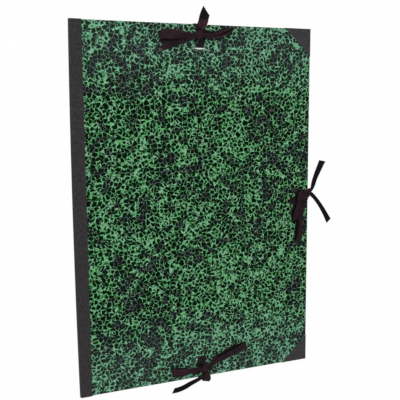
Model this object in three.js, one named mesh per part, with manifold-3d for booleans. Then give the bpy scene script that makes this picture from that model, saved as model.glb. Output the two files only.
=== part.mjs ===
// Art portfolio folder: two grey boards covered with marbled paper, cloth spine and corners,
// lined inside, tied shut with three bows. It lies closed on its back cover.
// Millimetres; X runs from spine to fore-edge, Y from tail to head, Z up through the covers.
import * as THREE from 'three';
import { mergeVertices } from 'three/addons/utils/BufferGeometryUtils.js';
import Module from 'manifold-3d';

const wasm = await Module();
wasm.setup();

// Overall size and boards
const folderWidth = 320;
const folderHeight = 450;
const boardThick = 2.5;
const boardRound = 0.8;
const coverGap = 0.4;
// Coverings
const paperThick = 0.25;
const clothThick = 0.4;
const liningThick = 0.2;
const overlap = 3;
const turnIn = 15;
const liningMargin = 6;
// Spine
const spineFace = 16;
const spineBulge = 4;
const spineSag = 1.8;
const hingeFace = 20;
// Cloth corners
const cornerAlong = 38.5;
const cornerUp = 35;
const cornerTurnIn = 17;
// Slits and ties
const tapeWide = 12;
const tapeThick = 0.35;
const slitInset = 28;
const slitLong = 14.6;
const slitWide = 1.2;
const tapeEnd = 24;
const tapeBed = 0.4;
const tapeClear = 0.3;

// Levels and edges worked out from the sizes above
const skin = paperThick + clothThick;
const innerSkin = clothThick + 2 * liningThick;
const total = 2 * (skin + boardThick + innerSkin) + coverGap;
const right = folderWidth / 2;
const head = folderHeight / 2;
const left = -right;
const board = {
  x0: left + spineBulge,
  x1: right - skin,
  y: head - skin,
  z0: skin,
  z1: skin + boardThick,
};
const slitX = (board.x0 + board.x1) / 2;
const far = 50;
const seam = 0.01;

// Solids from three.js geometries
function solid(geometry) {
  geometry.deleteAttribute('normal');
  geometry.deleteAttribute('uv');
  const merged = mergeVertices(geometry, 1e-4);
  const vertProperties = new Float32Array(merged.attributes.position.array);
  const triVerts = new Uint32Array(merged.index.array);
  return new wasm.Manifold(new wasm.Mesh({ numProp: 3, vertProperties, triVerts }));
}

function geometryOf(manifold) {
  const mesh = manifold.getMesh();
  const geometry = new THREE.BufferGeometry();
  geometry.setAttribute('position', new THREE.BufferAttribute(new Float32Array(mesh.vertProperties), 3));
  geometry.setIndex(new THREE.BufferAttribute(new Uint32Array(mesh.triVerts), 1));
  return geometry;
}

// One solid of several, so that no film is left between two that touch when they are cut away
function joined(manifolds) {
  return manifolds.reduce((all, piece) => all.add(piece));
}

function block(x0, x1, y0, y1, z0, z1) {
  const geometry = new THREE.BoxGeometry(x1 - x0, y1 - y0, z1 - z0);
  geometry.translate((x0 + x1) / 2, (y0 + y1) / 2, (z0 + z1) / 2);
  return solid(geometry);
}

// An outline of [x, y] points raised from z0 to z1
function prism(points, z0, z1) {
  const shape = new THREE.Shape(points.map(([x, y]) => new THREE.Vector2(x, y)));
  const geometry = new THREE.ExtrudeGeometry(shape, { depth: z1 - z0, bevelEnabled: false });
  geometry.translate(0, 0, z0);
  return solid(geometry);
}

// A slab whose upper and lower edges are rounded all round
function slab(x0, x1, y, z0, z1, round) {
  const shape = new THREE.Shape();
  shape.moveTo(x0, -y).lineTo(x1, -y).lineTo(x1, y).lineTo(x0, y).closePath();
  const geometry = new THREE.ExtrudeGeometry(shape, {
    depth: z1 - z0 - 2 * round,
    bevelThickness: round,
    bevelSize: round,
    bevelOffset: -round,
    bevelSegments: 3,
  });
  geometry.translate(0, 0, z0 + round);
  return solid(geometry);
}

// A turn of half a circle about the folder's middle plane takes the back cover to the front
function overleaf(manifold) {
  const geometry = geometryOf(manifold);
  geometry.rotateX(Math.PI);
  geometry.translate(0, 0, total);
  return solid(geometry);
}

// Grey board with three slits for the tapes and a pared bed for each tape's glued end
function slits(grow) {
  const long = slitLong / 2;
  const wide = slitWide / 2;
  const across = board.z1 + grow;
  const endwise = [1, -1].map((side) => {
    const y = side * (head - slitInset);
    return block(slitX - long, slitX + long, y - wide, y + wide, -far, across);
  });
  const x = right - slitInset;
  return endwise[0].add(endwise[1]).add(block(x - wide, x + wide, -long, long, -far, across));
}

function tapeBeds() {
  const half = tapeWide / 2 + tapeClear;
  const inner = slitInset + tapeEnd + tapeClear;
  const z0 = board.z1 - tapeBed;
  const z1 = board.z1 + far;
  const top = block(slitX - half, slitX + half, head - inner, head - slitInset, z0, z1);
  const bottom = block(slitX - half, slitX + half, slitInset - head, inner - head, z0, z1);
  return top.add(bottom).add(block(right - inner, right - slitInset, -half, half, z0, z1));
}

const boardSlab = slab(board.x0, board.x1, board.y, board.z0, board.z1, boardRound);
const backBoard = boardSlab.subtract(slits(far)).subtract(tapeBeds());

// Marbled paper: round three edges of the board and turned in
const cornerLine = (grow) => [
  [right - cornerAlong - grow, head + far],
  [right - cornerAlong - grow, head],
  [right, head - cornerUp - grow],
  [right + far, head - cornerUp - grow],
  [right + far, head + far],
];

function cornerPrism(side, grow, z0, z1) {
  const points = cornerLine(grow).map(([x, y]) => [x, side * y]);
  return prism(side > 0 ? points : points.reverse(), z0, z1);
}

function turnInWindow(depth) {
  return block(left - far, right - depth, depth - head, head - depth, board.z1, board.z1 + far);
}

// Cover paper with the board still in it
function paperAndBoard() {
  const edge = board.y + paperThick;
  const z0 = board.z0 - paperThick;
  const z1 = board.z1 + paperThick;
  const paperX0 = left + spineFace - overlap;
  const outer = slab(board.x0 - paperThick, board.x1 + paperThick, edge, z0, z1, boardRound + paperThick);
  return outer
    .subtract(block(left - far, paperX0, -head - far, head + far, -far, far))
    .subtract(turnInWindow(turnIn))
    .subtract(cornerPrism(1, -overlap, -far, far))
    .subtract(cornerPrism(-1, -overlap, -far, far));
}

// Cloth corner: a triangle on the face, wrapped round both edges
function clothCorner(side, covered) {
  const outer = slab(board.x0, board.x1 + skin, head, 0, board.z1 + clothThick, boardRound + clothThick);
  return outer
    .intersect(cornerPrism(side, 0, -far, far))
    .subtract(covered)
    .subtract(turnInWindow(cornerTurnIn));
}

// Places along the spine where every layer of it has a cross-section
const spineStations = [head + far, head - liningMargin, head - turnIn, head - turnIn - liningMargin]
  .concat([1, 2, 3, 4, 5, 6].map((step) => (step * head) / 6))
  .flatMap((y) => [y, -y])
  .concat(0)
  .sort((a, b) => a - b);

// Spine: cross-sections round the boards' edges, fuller at mid-height than at head and tail
function spineLoft(inset, reach, x1) {
  const arc = 12;
  const high = total / 2 - inset;
  const positions = [];
  for (const y of spineStations.filter((at) => Math.abs(at) <= reach)) {
    const full = 1 - (y / head) ** 2;
    const deep = spineBulge - spineSag * (1 - Math.max(0, full)) - inset;
    positions.push([x1, y, total / 2 - high]);
    for (let j = 0; j <= arc; j += 1) {
      const turn = (Math.PI * j) / arc;
      positions.push([board.x0 - deep * Math.sin(turn), y, total / 2 - high * Math.cos(turn)]);
    }
    positions.push([x1, y, total / 2 + high]);
  }
  return loft(positions, arc + 3);
}

// Closes a row of equal rings of points into one solid, with a fan on each end. The two halves
// of the ring are split along opposite diagonals, so a twisted band keeps its thickness.
function loft(positions, ring) {
  const count = positions.length / ring;
  const index = [];
  for (let i = 0; i + 1 < count; i += 1) {
    for (let j = 0; j < ring; j += 1) {
      const a = i * ring + j;
      const b = i * ring + ((j + 1) % ring);
      if (j < ring / 2) index.push(a, b, a + ring, b, b + ring, a + ring);
      else index.push(a, b, b + ring, a, b + ring, a + ring);
    }
  }
  const last = (count - 1) * ring;
  for (let j = 1; j + 1 < ring; j += 1) {
    index.push(0, j + 1, j, last, last + j, last + j + 1);
  }
  const geometry = new THREE.BufferGeometry();
  geometry.setAttribute('position', new THREE.Float32BufferAttribute(positions.flat(), 3));
  geometry.setIndex(index);
  return solid(geometry);
}

// The hollow behind the boards' spine edges and between their inner faces
function spineHollow(reach, { behind, between, edge = -seam }) {
  const x1 = board.x0 - edge;
  const pocket = spineLoft(behind, reach, board.x0 + 1)
    .intersect(block(left - far, x1, -reach, reach, -far, far));
  const z0 = board.z1 + between;
  return pocket.add(block(x1 - seam, far, -reach, reach, z0, total - z0));
}

// Spine cloth: one strip over both boards' edges, turned in at head and tail
function spineCloth(covered) {
  const mouth = head - turnIn;
  const open = spineHollow(mouth, { behind: clothThick, between: 0 });
  const doubled = spineHollow(head + far, { behind: 2 * clothThick, between: clothThick });
  const strip = spineLoft(0, head, left + spineFace);
  return [open, doubled, covered, overleaf(covered)].reduce((rest, piece) => rest.subtract(piece), strip);
}

// Inner hinge strip: lines the hollow and laps on to both boards
function spineLining(laidOver) {
  const long = head - liningMargin;
  const middle = head - turnIn - liningMargin;
  const strip = spineLoft(clothThick, long, board.x0 + 1)
    .intersect(block(left - far, board.x0 + seam, -long, long, -far, far))
    .add(block(board.x0, left + hingeFace, -long, long, board.z1, total - board.z1));
  const open = spineHollow(middle, {
    behind: clothThick + liningThick,
    between: liningThick,
    edge: liningThick,
  });
  const ends = spineHollow(head + far, {
    behind: 2 * clothThick + liningThick,
    between: clothThick + liningThick,
    edge: liningThick,
  });
  return strip.subtract(joined([open, ends, ...laidOver]));
}

// Lining paper: laid over the turn-ins, so its middle lies lower than its borders
function coverLining(laidOver) {
  const x0 = left + hingeFace - overlap;
  const x1 = right - liningMargin;
  const y = head - liningMargin;
  const inset = cornerTurnIn + 1;
  const window = block(
    left + hingeFace + 1, right - inset, inset - head, head - inset,
    board.z1 + liningThick, board.z1 + far,
  );
  const sheet = block(x0, x1, -y, y, board.z1, board.z1 + innerSkin);
  return sheet.subtract(joined([window, ...laidOver]));
}

// Tapes. A route point is [u, v, w, width, side]: u along the edge from the slit, v outward
// from the edge, w up from the front paper, and side the direction across the tape.
const faceZ = total - clothThick;
const acrossU = [1, 0, 0];
const acrossV = [0, -1, 0];
const onEdge = [0, -0.2, 1];
const gathered = 5.8;
const lane = 3.1;
const level = (n) => 0.55 + 1.25 * n;
const table = (height) => height - faceZ;

// The end glued in its bed, the way through the slit and the first stretch on the face
function gluedEnd(inner, outer, lift) {
  const turn = Math.sign(outer - inner);
  const bed = inner + (turn * tapeBed) / 2;
  const proud = outer + turn * lift;
  return [
    [0, -slitInset - tapeEnd, bed, tapeWide, acrossU],
    [0, -slitInset - tapeEnd / 2, bed, tapeWide, acrossU],
    [0, -slitInset - 2.5, bed, tapeWide, acrossU],
    [0, -slitInset - 0.45, bed, tapeWide, acrossU],
    [0, -slitInset - 0.05, bed + turn * 0.35, tapeWide, acrossU],
    [0, -slitInset, bed + turn * 1.2, tapeWide, acrossU],
    [0, -slitInset + 0.05, outer - turn * 0.5, tapeWide, acrossU],
    [0, -slitInset + 0.3, proud, tapeWide, acrossU],
  ];
}

// Front tape: out of its slit, under the knot, round the right loop and out to the left
function frontRoute({ knot: [u, v], frontLoop, frontTail }) {
  const a = u + lane;
  return [
    ...gluedEnd(-paperThick - boardThick, 0, clothThick),
    [0, -slitInset + 1.5, clothThick, 9, acrossU],
    [0.2 * a, -slitInset + 3.4, 0.5, 7.4, acrossU],
    [0.62 * a, -slitInset + 5.5, 0.6, 6.3, acrossU],
    [0.97 * a, Math.max(v - 6.8, -slitInset + 7.1), 0.65, gathered, acrossU],
    [a, v - 2, level(0), gathered, acrossU],
    [a, v + 3, level(0), gathered, acrossU],
    [a + 1.3, v + 6.2, 0.9, gathered, [0.7, -0.7, 0]],
    [a + 4.4, v + 7.5, 1.5, 6, acrossV],
    ...frontLoop,
    [u + 7.5, v, level(3), gathered, acrossV],
    [u + 1, v, level(3), gathered, acrossV],
    [u - 6.5, v - 0.4, level(3), gathered, acrossV],
    ...frontTail,
  ];
}

// Back tape: round the edge, over the knot, through it, round the left loop and out under itself
function backRoute({ knot: [u, v], round, backLoop, backTail }) {
  const b = u - lane;
  return [
    ...gluedEnd(board.z1 - faceZ, clothThick - faceZ, clothThick - tapeThick / 2),
    [0, -slitInset + 2.5, table(tapeThick / 2), tapeWide, acrossU],
    [b / 2, -slitInset / 2, table(tapeThick / 2), tapeWide, acrossU],
    ...round,
    [b, v + 7.5, 0.6, 6.5, acrossU],
    [b, v + 4, level(0), gathered, acrossU],
    [b, v - 3, level(0), gathered, acrossU],
    [b, v - 5.2, 1.1, gathered, acrossU],
    [b, v - 6.1, 3, gathered, acrossU],
    [b, v - 5, 4.9, 6.5, acrossU],
    [b, v - 3, 5.6, 7.5, acrossU],
    [b, v, 5.85, 8, acrossU],
    [b, v + 3, 5.6, 7.5, acrossU],
    [b, v + 5.2, 4.9, 6.5, acrossU],
    [b, v + 5.8, 3.9, gathered, acrossU],
    [b, v + 4.6, 3.1, gathered, acrossU],
    [b - 1.3, v + 1.3, level(2), gathered, [0.7, -0.7, 0]],
    [b - 4.4, v - 0.3, level(2), gathered, acrossV],
    ...backLoop,
    [b - 4.4, v - 0.3, level(1), gathered, acrossV],
    [b - 1.3, v + 1.3, level(1), gathered, [0.7, -0.7, 0]],
    [b, v + 4.6, level(1), gathered, acrossU],
    ...backTail,
  ];
}

const roundEdge = (u) => [
  [u, -3.2, table(tapeThick / 2), tapeWide, acrossU],
  [u, -1, table(tapeThick / 2), tapeWide, acrossU],
  [u, 0.15, table(1.1), 11.5, acrossU],
  [u, 0.3, table(4), 10, acrossU],
  [u, 0.15, -0.5, 9, acrossU],
  [u, -0.9, 0.45, 8.5, acrossU],
];

const leanRight = [0.91, -0.41, 0];
const ties = {
  top: {
    knot: [1, -14],
    round: roundEdge(-2.1),
    backLoop: [
      [-16, -14.2, 3.2, 7.5, acrossV],
      [-27, -14.2, 5.6, 10.5, acrossV],
      [-40, -14.5, 6.8, 12, acrossV],
      [-50, -14.7, 6.2, 12, acrossV],
      [-55.5, -15, 3.8, 12, acrossV],
      [-50, -15.3, 1.6, 12, acrossV],
      [-40, -15.5, 1.2, 12, acrossV],
      [-26, -15.3, 1.2, 11, acrossV],
      [-15, -14.8, 1.5, 8, acrossV],
    ],
    backTail: [
      [-2, -6.5, 1.6, 7.5, acrossU],
      [-0.6, -2.5, 1.6, 10.5, [0.97, -0.24, 0]],
      [1.8, 3, 1.1, 12, leanRight],
      [4.5, 9, table(4.6), 12, leanRight],
      [7.2, 14.5, table(1.1), 12, leanRight],
      [10.5, 20.5, table(0.23), 12, leanRight],
    ],
    frontLoop: [
      [12, -7.2, 2.9, 6.5, acrossV],
      [20, -8.5, 5.4, 8.5, [0, -0.7, 0.7]],
      [30, -6, 6.8, 10.5, [0, -0.4, 0.9]],
      [38, -3.8, 6.8, 11, onEdge],
      [41.8, -5.4, 6.7, 11, [0, 0, 1]],
      [38, -8.4, 6.6, 11, onEdge],
      [30, -11, 6.6, 10.5, [0, -0.4, 0.9]],
      [20, -13.4, 5.8, 8.5, [0, -0.7, 0.7]],
      [13, -14, 4.7, 6.5, [0, -1, 0.2]],
    ],
    frontTail: [
      [-9.5, -16.5, 4.6, 6.5, [0.4, -0.9, 0]],
      [-14, -20.4, 4.6, 7.2, [0.66, -0.75, 0]],
      [-18, -24, 2.2, 8.5, [0.6, -0.8, 0]],
      [-25, -26.2, 0.6, 11, [0.2, -1, 0]],
      [-38, -27.7, 0.35, 12, [0.1, -1, 0]],
      [-51, -29.2, 0.3, 12, [0.1, -1, 0]],
    ],
  },
  side: {
    knot: [-1.5, -10],
    round: roundEdge(-4.6),
    backLoop: [
      [-14.4, -13, 3.6, 7, [0.7, -0.7, 0]],
      [-15.8, -18, 5, 8, acrossU],
      [-11.5, -22.8, 6, 9, [0.7, 0.7, 0]],
      [-3, -24.3, 6.4, 10, [0, 1, 0]],
      [8, -23.8, 6.4, 10, [0, 1, 0]],
      [18, -22.9, 5.6, 10, [0, 1, 0]],
      [27.5, -22.7, 3.6, 10, [0, 1, 0]],
      [18, -23.1, 1.6, 10, [0, 1, 0]],
      [8, -24, 1.5, 10, [0, 1, 0]],
      [-3, -24.4, 1.8, 9.5, [0, 1, 0]],
      [-11.5, -22.8, 1.7, 8.5, [0.7, 0.7, 0]],
      [-15.6, -18, 1.6, 8, acrossU],
      [-14.4, -13, 1.6, 7, [0.7, -0.7, 0]],
    ],
    backTail: [
      [-4.7, -2.4, 1.6, 6.3, acrossU],
      [-4.9, 1, 1.3, 6.2, acrossU],
      [-4.2, 4.5, table(6), 6, acrossU],
      [-1.8, 9.5, table(2.6), 6, [0.9, -0.4, 0]],
      [3, 16, table(0.6), 6.3, [0.8, -0.6, 0]],
      [11.5, 24.5, table(0.4), 7, [0.75, -0.66, 0]],
      [23, 32.5, table(0.3), 8.5, [0.55, -0.83, 0]],
      [34, 39.3, table(0.25), 9, [0.55, -0.83, 0]],
    ],
    frontLoop: [
      [9.5, -4.6, 1.8, 6.3, [-0.3, -0.9, 0]],
      [20, -10.5, 1.1, 8, [-0.3, -0.9, 0]],
      [36, -15, 0.9, 8.5, acrossV],
      [48, -17, 1, 9, acrossV],
      [57, -18, 3.3, 9, acrossV],
      [48, -17, 5.8, 9, acrossV],
      [36, -15, 6.4, 8.5, acrossV],
      [20, -12, 6.2, 8, acrossV],
      [11, -10.3, 5, 6.5, acrossV],
    ],
    frontTail: [
      [-11.8, -9, 4.5, 6, [-0.5, -0.85, 0]],
      [-14.6, -5.6, 3.8, 6, [-1, 0, 0]],
      [-14.4, -1.5, 2.6, 6, [-1, 0, 0]],
      [-13.4, 2.5, 0.9, 6, [-1, 0, 0]],
      [-14.8, 7.5, table(4.6), 6, [-0.85, -0.5, 0]],
      [-20, 11.8, table(1.5), 6.2, [-0.5, -0.85, 0]],
      [-28, 15.5, table(0.5), 6.5, [-0.45, -0.9, 0]],
      [-40, 21.3, table(0.3), 8, [-0.45, -0.9, 0]],
      [-52, 27.3, table(0.25), 10, [-0.45, -0.9, 0]],
    ],
  },
  bottom: {
    knot: [-0.5, -13.5],
    round: [
      [-4, -3.5, table(tapeThick / 2), tapeWide, acrossU],
      [-4, -1.2, table(tapeThick / 2), tapeWide, acrossU],
      [-4, 2.4, table(0.35), 11.5, acrossU],
      [-4.2, 7, table(2), 11, acrossU],
      [-4.3, 8.6, table(4.8), 10.5, acrossU],
      [-4.2, 7.2, -0.2, 10, acrossU],
      [-4, 3.5, 1.1, 9, acrossU],
      [-3.8, -1.5, 1, 7.5, acrossU],
    ],
    backLoop: [
      [-17, -17, 3.2, 6.8, [0.33, -0.94, 0]],
      [-28, -22, 5.8, 9.5, [0.33, -0.94, 0]],
      [-42, -27, 7, 11.5, [0.33, -0.94, 0]],
      [-55, -31.5, 6.2, 12, [0.33, -0.94, 0]],
      [-63.5, -34.6, 3.8, 12, [0.33, -0.94, 0]],
      [-55, -32.3, 1.4, 12, [0.33, -0.94, 0]],
      [-42, -27.8, 1.1, 11.5, [0.33, -0.94, 0]],
      [-28, -22.5, 1.1, 9.5, [0.33, -0.94, 0]],
      [-17, -17.3, 1.5, 7.5, [0.33, -0.94, 0]],
    ],
    backTail: [
      [-3.4, -6.2, 1.9, 6.2, acrossU],
      [-1.8, -3, 2.2, 6, [0.85, -0.5, 0]],
      [1.4, -0.4, 2, 6, [0.7, -0.7, 0]],
      [5.5, 2.6, 0.6, 6, [0.65, -0.75, 0]],
      [10.5, 6.6, table(4.6), 6, [0.6, -0.8, 0]],
      [15, 9.8, table(1.8), 6, [0.5, -0.85, 0]],
      [20.5, 12.8, table(0.5), 6, [0.4, -0.9, 0]],
      [30, 15.2, table(0.42), 6, [0.1, -1, 0]],
      [39, 15.5, table(0.42), 6, [0, -1, 0]],
    ],
    frontLoop: [
      [11, -6.6, 2.2, 7, [-0.2, -1, 0]],
      [20, -10.2, 1.4, 9.5, [-0.3, -0.9, 0]],
      [31, -12.6, 1.1, 11.5, acrossV],
      [42.5, -13.2, 3.8, 12, acrossV],
      [31, -13, 6.8, 11.5, acrossV],
      [20, -13, 6.8, 9.5, acrossV],
      [12, -13.4, 5.2, 7, acrossV],
    ],
    frontTail: [
      [-11, -16.6, 4.6, 6.5, [0.5, -0.85, 0]],
      [-14.5, -22.5, 4.8, 7, [0.66, -0.75, 0]],
      [-17.5, -27.5, 2.6, 7.5, [0.6, -0.8, 0]],
      [-22.5, -31.5, 0.7, 8.5, [0.45, -0.9, 0]],
      [-31, -32, 0.35, 11, [0.33, -0.94, 0]],
      [-40, -33.4, 0.3, 12, [0.33, -0.94, 0]],
      [-50, -36.6, 0.3, 12, [0.33, -0.94, 0]],
    ],
  },
};

// A flat tape of constant area carried along its route
function tape(route) {
  const curve = new THREE.CatmullRomCurve3(route.map(([u, v, w]) => new THREE.Vector3(u, v, w)), false);
  const spans = route.length - 1;
  const positions = [];
  const steps = [0];
  for (let i = 0; i < spans; i += 1) {
    const [a, b] = [curve.points[i], curve.points[i + 1]];
    if (a.distanceTo(b) > 2.4) steps.push((i + 0.5) / spans);
    steps.push((i + 1) / spans);
  }
  for (const t of steps) {
    const span = Math.min(Math.floor(t * spans + 1e-9), spans - 1);
    const part = t * spans - span;
    const [, , , wide0, side0] = route[span];
    const [, , , wide1, side1] = route[span + 1];
    const wide = wide0 + (wide1 - wide0) * part;
    const thick = (tapeThick * tapeWide) / wide;
    const tangent = curve.getTangent(t);
    const side = new THREE.Vector3(...side0).lerp(new THREE.Vector3(...side1), part);
    side.addScaledVector(tangent, -side.dot(tangent)).setLength(wide / 2);
    const up = new THREE.Vector3().crossVectors(side, tangent).setLength(thick / 2);
    const at = curve.getPoint(t);
    for (const [p, q] of [[-1, -1], [-1, 1], [1, 1], [1, -1]]) {
      const corner = at.clone().addScaledVector(side, p).addScaledVector(up, q);
      positions.push(corner.toArray());
    }
  }
  return loft(positions, 4);
}

// Finishes
const finish = (color, roughness) => new THREE.MeshStandardMaterial({ color, roughness, metalness: 0 });
const greyBoard = finish(0x8f8a80, 0.9);
const marbledPaper = finish(0x35563c, 0.45);
const blackCloth = finish(0x373435, 0.85);
const liningPaper = finish(0x26292b, 0.8);
const cottonTape = finish(0x1f181b, 0.9);

const folder = new THREE.Group();

function part(group, name, manifold, material) {
  const mesh = new THREE.Mesh(geometryOf(manifold), material);
  mesh.name = name;
  group.add(mesh);
}

const covered = boardSlab.add(paperAndBoard());
const paper = paperAndBoard().subtract(boardSlab).subtract(slits(far));
const boards = [backBoard, overleaf(backBoard)];
const papers = [paper, overleaf(paper)];
const cloth = spineCloth(covered);
const hinge = spineLining([cloth, ...boards, ...papers]);
const corners = [1, -1].map((side) => clothCorner(side, covered));
const lining = coverLining([paper, ...corners, cloth, hinge]);

for (const cover of ['back', 'front']) {
  const group = new THREE.Group();
  if (cover === 'front') {
    group.rotation.x = Math.PI;
    group.position.z = total;
  }
  const upper = cover === 'back' ? 1 : -1;
  part(group, `${cover}_board`, backBoard, greyBoard);
  part(group, `${cover}_cover_paper`, paper, marbledPaper);
  part(group, `${cover}_lining`, lining, liningPaper);
  part(group, `${cover}_corner_top`, upper > 0 ? corners[0] : corners[1], blackCloth);
  part(group, `${cover}_corner_bottom`, upper > 0 ? corners[1] : corners[0], blackCloth);
  folder.add(group);
}
part(folder, 'spine_cloth', cloth, blackCloth);
part(folder, 'spine_lining', hinge, blackCloth);

const places = {
  top: [slitX, head, 0],
  side: [right, 0, -Math.PI / 2],
  bottom: [slitX, -head, Math.PI],
};
for (const [name, tie] of Object.entries(ties)) {
  const group = new THREE.Group();
  const [x, y, turn] = places[name];
  group.position.set(x, y, faceZ);
  group.rotation.z = turn;
  part(group, `${name}_tape_front`, tape(frontRoute(tie)), cottonTape);
  part(group, `${name}_tape_back`, tape(backRoute(tie)), cottonTape);
  folder.add(group);
}

export default folder;
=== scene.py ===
"""Art portfolio folder: two marbled covers with a cloth spine and corners, tied with six tapes."""

import math

import bpy
import numpy as np
from mathutils import Matrix


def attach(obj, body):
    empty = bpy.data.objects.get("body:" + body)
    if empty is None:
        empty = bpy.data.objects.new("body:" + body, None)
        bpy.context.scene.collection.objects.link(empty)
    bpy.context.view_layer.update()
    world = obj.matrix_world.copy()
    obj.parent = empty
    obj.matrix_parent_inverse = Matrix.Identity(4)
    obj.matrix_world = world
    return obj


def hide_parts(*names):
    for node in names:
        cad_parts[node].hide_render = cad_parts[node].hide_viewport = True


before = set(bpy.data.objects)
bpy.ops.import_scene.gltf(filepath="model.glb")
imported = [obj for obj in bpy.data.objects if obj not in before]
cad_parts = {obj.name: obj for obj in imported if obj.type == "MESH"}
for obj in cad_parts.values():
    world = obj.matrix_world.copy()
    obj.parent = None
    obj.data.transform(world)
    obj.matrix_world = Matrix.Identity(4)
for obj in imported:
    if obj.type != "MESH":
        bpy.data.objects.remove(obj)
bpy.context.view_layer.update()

MM = 0.001

# Sizes shared with the solids, in millimetres
HEAD = 225.0
RIGHT = 160.0
TOTAL = 8.3
CLOTH_THICK = 0.4
PAPER_THICK = 0.25
BOARD_THICK = 2.5
FACE_Z = TOTAL - CLOTH_THICK
SLIT_X = 1.675
SLIT_INSET = 28.0
SLIT_LONG = 14.6
SLIT_WIDE = 1.2
TAPE_WIDE = 12.0
TAPE_THICK = 0.35
TAPE_END = 24.0
TAPE_BED = 0.4
BACK_BOARD_TOP = 3.15

# The tapes: width where gathered, sideways place in the knot, pleats, rise of a returning strand
GATHERED = 5.8
LANE = 3.1
PLEAT_RISE = 0.62
PLEAT_ROOM = 0.3
BROAD_PLEATS = 2.2
FINE_PLEATS = 4.7
FINE_SHARE = 0.3
LOOP_RISE = 0.7
CLEAR = 0.03
CUT_REACH = 22.0

# How finely the tapes are drawn: steps in a span, columns across, millimetres along
PER_SPAN = 24
COLUMNS = 23
STEP = 0.55
PATH_STEP = 2.0
EASE = 2

ACROSS_U = (1, 0, 0)
ACROSS_V = (0, -1, 0)
ON_EDGE = (0, -0.2, 1)
LEAN_RIGHT = (0.91, -0.41, 0)

# Where each tie's slit centre line meets the edge, and how its own axes are turned
TIE_PLACES = {
    "top": (SLIT_X, HEAD, 0.0),
    "side": (RIGHT, 0.0, -math.pi / 2),
    "bottom": (SLIT_X, -HEAD, math.pi),
}

# Camera: its right and up directions, its place in millimetres, its focal length in pixels
CAMERA_RIGHT = np.array([0.9197, -0.0066, 0.3926])
CAMERA_UP = np.array([0.0602, 0.9904, -0.1244])
CAMERA_PLACE = np.array([-327.4, 125.6, 779.1])
FOCAL_PIXELS = 671.5
FRAME_PIXELS = 400
SENSOR = 36.0

# Light and floor, in metres and watts
WORLD_STRENGTH = 0.62
LAMP_PLACE = np.array([-0.9, 0.9, 1.6])
LAMP_SIZE = 1.1
LAMP_POWER = 16.0
FLOOR_HALF = 4.0
FLOOR_Z = -0.0004
FLOOR_WHITE = 0.97


def unit(vectors):
    """Each vector over its own length."""
    return vectors / np.linalg.norm(vectors, axis=-1, keepdims=True)


def stand(thing, right, up, back, place):
    """Places a camera or lamp by its own three axes. It looks against the third."""
    rows = np.column_stack([right, up, back, place])
    thing.matrix_world = Matrix([*rows.tolist(), (0, 0, 0, 1)])
    bpy.context.scene.collection.objects.link(thing)


def place_camera():
    """The camera stands to the left of the folder's middle and looks against its own third axis."""
    right = unit(CAMERA_RIGHT)
    up = unit(CAMERA_UP - right * CAMERA_UP.dot(right))
    data = bpy.data.cameras.new("camera")
    data.sensor_width = SENSOR
    data.lens = FOCAL_PIXELS / FRAME_PIXELS * SENSOR
    data.clip_start = 0.05
    data.clip_end = 20.0
    camera = bpy.data.objects.new("camera", data)
    stand(camera, right, up, np.cross(right, up), CAMERA_PLACE * MM)
    bpy.context.scene.camera = camera


# Routes of the tapes. Each point is u along the edge, v outward from it, w above the front
# paper's face, the width there, and the direction across the tape.

def level(n):
    """Height of the middle of the n-th strand in the knot."""
    return 0.55 + 1.25 * n


def table(height):
    """Height over the table, given as a height over the front paper's face."""
    return height - FACE_Z


def glued_end(inner, outer, lift):
    """The end in its bed between board and lining, then the way out through the slit."""
    turn = math.copysign(1, outer - inner)
    bed = inner + turn * TAPE_BED / 2
    s = -SLIT_INSET
    return [
        (0, s - TAPE_END, bed, TAPE_WIDE, ACROSS_U),
        (0, s - TAPE_END / 2, bed, TAPE_WIDE, ACROSS_U),
        (0, s - 2.5, bed, TAPE_WIDE, ACROSS_U),
        (0, s - 0.45, bed, TAPE_WIDE, ACROSS_U),
        (0, s - 0.05, bed + turn * 0.35, TAPE_WIDE, ACROSS_U),
        (0, s, bed + turn * 1.2, TAPE_WIDE, ACROSS_U),
        (0, s + 0.05, outer - turn * 0.5, TAPE_WIDE, ACROSS_U),
        (0, s + 0.3, outer + turn * lift, TAPE_WIDE, ACROSS_U),
    ]


def raised_return(loop):
    """The loop's points, with those after its far end higher by LOOP_RISE."""
    far = max(range(len(loop)), key=lambda i: abs(loop[i][0] - loop[0][0]))
    back = [(u, v, w + LOOP_RISE, *rest) for u, v, w, *rest in loop[far + 1 :]]
    return loop[: far + 1] + back


def front_route(tie):
    """Out of its slit, under the knot, round the right loop and out to the left."""
    u, v = tie["knot"]
    a = u + LANE
    s = -SLIT_INSET
    return [
        *glued_end(-PAPER_THICK - BOARD_THICK, 0, CLOTH_THICK),
        (0, s + 1.5, CLOTH_THICK, tie["lead"][0], ACROSS_U),
        (0.2 * a + tie["sway"], s + 3.4, 0.5, tie["lead"][1], ACROSS_U),
        (0.62 * a + tie["sway"], s + 5.5, 0.6, tie["lead"][2], ACROSS_U),
        (0.97 * a, max(v - 6.8, s + 7.1), 0.65, GATHERED, ACROSS_U),
        (a, v - 2, level(0), GATHERED, ACROSS_U),
        (a, v + 3, level(0), GATHERED, ACROSS_U),
        (a + 1.2, v + 5, 0.9, 4.6, (0.7, -0.7, 0)),
        (a + 4.2, v + 4.4, 1.5, 4.6, ACROSS_V),
        *raised_return(tie["front_loop"]),
        (u + 7.5, v, level(3), GATHERED, ACROSS_V),
        (u + 1, v, level(3), GATHERED, ACROSS_V),
        (u - 6.5, v - 0.4, level(3), GATHERED, ACROSS_V),
        *tie["front_tail"],
    ]


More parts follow.
